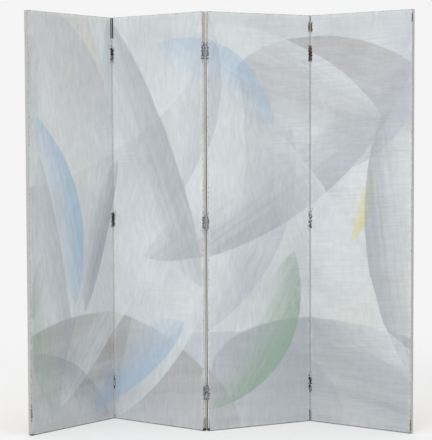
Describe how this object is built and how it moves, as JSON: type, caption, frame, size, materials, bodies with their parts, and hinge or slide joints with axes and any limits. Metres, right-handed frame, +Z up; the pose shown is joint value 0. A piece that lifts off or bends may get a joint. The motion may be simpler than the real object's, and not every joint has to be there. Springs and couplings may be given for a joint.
{
  "type": "folding screen",
  "caption": "Free-standing folding screen of hinged upright panels: painted canvas stretched on wooden strainers, open at the back, folding flat like an accordion.",
  "frame": {"origin": "on the floor, in the middle of the space that the standing screen takes up", "axes": "+Z up, along the panels' height; +X along the screen, to the right as the painted side is seen; -Y towards the viewer of the painted side"},
  "size_m": [1.6678, 0.404, 1.83],
  "materials": {
    "painted_canvas": "matt oil paint on primed canvas, with visible brush strokes",
    "canvas_margin": "raw and primed canvas, soiled along the edges",
    "strainer_wood": "planed softwood, unfinished and aged",
    "hinge_steel": "dull, tarnished and rusted in places",
    "screw_steel": "dull and tarnished",
    "blued_tacks": "blued steel, worn"
  },
  "bodies": {
    "panel_1": {"panel_1_canvas_face": "painted_canvas", "panel_1_canvas_margins": "canvas_margin", "panel_1_left_stile": "strainer_wood", "panel_1_right_stile": "strainer_wood", "panel_1_top_rail": "strainer_wood", "panel_1_mid_rail": "strainer_wood", "panel_1_bottom_rail": "strainer_wood", "panel_1_tacks": "blued_tacks", "fold_1_top_hinge_left_leaf": "hinge_steel", "fold_1_middle_hinge_left_leaf": "hinge_steel", "fold_1_bottom_hinge_left_leaf": "hinge_steel", "fold_1_left_screws": "screw_steel", "fold_1_hinge_pins": "hinge_steel"},
    "panel_2": {"panel_2_canvas_face": "painted_canvas", "panel_2_canvas_margins": "canvas_margin", "panel_2_left_stile": "strainer_wood", "panel_2_right_stile": "strainer_wood", "panel_2_top_rail": "strainer_wood", "panel_2_mid_rail": "strainer_wood", "panel_2_bottom_rail": "strainer_wood", "panel_2_tacks": "blued_tacks", "fold_1_top_hinge_right_leaf": "hinge_steel", "fold_1_middle_hinge_right_leaf": "hinge_steel", "fold_1_bottom_hinge_right_leaf": "hinge_steel", "fold_1_right_screws": "screw_steel", "fold_2_top_hinge_left_leaf": "hinge_steel", "fold_2_middle_hinge_left_leaf": "hinge_steel", "fold_2_bottom_hinge_left_leaf": "hinge_steel", "fold_2_left_screws": "screw_steel", "fold_2_hinge_pins": "hinge_steel"},
    "panel_3": {"panel_3_canvas_face": "painted_canvas", "panel_3_canvas_margins": "canvas_margin", "panel_3_left_stile": "strainer_wood", "panel_3_right_stile": "strainer_wood", "panel_3_top_rail": "strainer_wood", "panel_3_mid_rail": "strainer_wood", "panel_3_bottom_rail": "strainer_wood", "panel_3_tacks": "blued_tacks", "fold_2_top_hinge_right_leaf": "hinge_steel", "fold_2_middle_hinge_right_leaf": "hinge_steel", "fold_2_bottom_hinge_right_leaf": "hinge_steel", "fold_2_right_screws": "screw_steel", "fold_3_top_hinge_left_leaf": "hinge_steel", "fold_3_middle_hinge_left_leaf": "hinge_steel", "fold_3_bottom_hinge_left_leaf": "hinge_steel", "fold_3_left_screws": "screw_steel", "fold_3_hinge_pins": "hinge_steel"},
    "panel_4": {"panel_4_canvas_face": "painted_canvas", "panel_4_canvas_margins": "canvas_margin", "panel_4_left_stile": "strainer_wood", "panel_4_right_stile": "strainer_wood", "panel_4_top_rail": "strainer_wood", "panel_4_mid_rail": "strainer_wood", "panel_4_bottom_rail": "strainer_wood", "panel_4_tacks": "blued_tacks", "fold_3_top_hinge_right_leaf": "hinge_steel", "fold_3_middle_hinge_right_leaf": "hinge_steel", "fold_3_bottom_hinge_right_leaf": "hinge_steel", "fold_3_right_screws": "screw_steel"}
  },
  "joints": [
    {"name": "fold_1", "type": "hinge", "parent": "panel_2", "child": "panel_1", "pos_m": [-0.48796, 0.18469, 0.915], "axis": [0, 0, 1], "range_deg": [-85.5, 94.5]},
    {"name": "fold_2", "type": "hinge", "parent": "panel_2", "child": "panel_3", "pos_m": [-0.06261, -0.09507, 0.915], "axis": [0, 0, 1], "range_deg": [-61.6, 118.4]},
    {"name": "fold_3", "type": "hinge", "parent": "panel_3", "child": "panel_4", "pos_m": [0.40557, 0.10494, 0.915], "axis": [0, 0, 1], "range_deg": [-119.2, 60.8]}
  ]
}
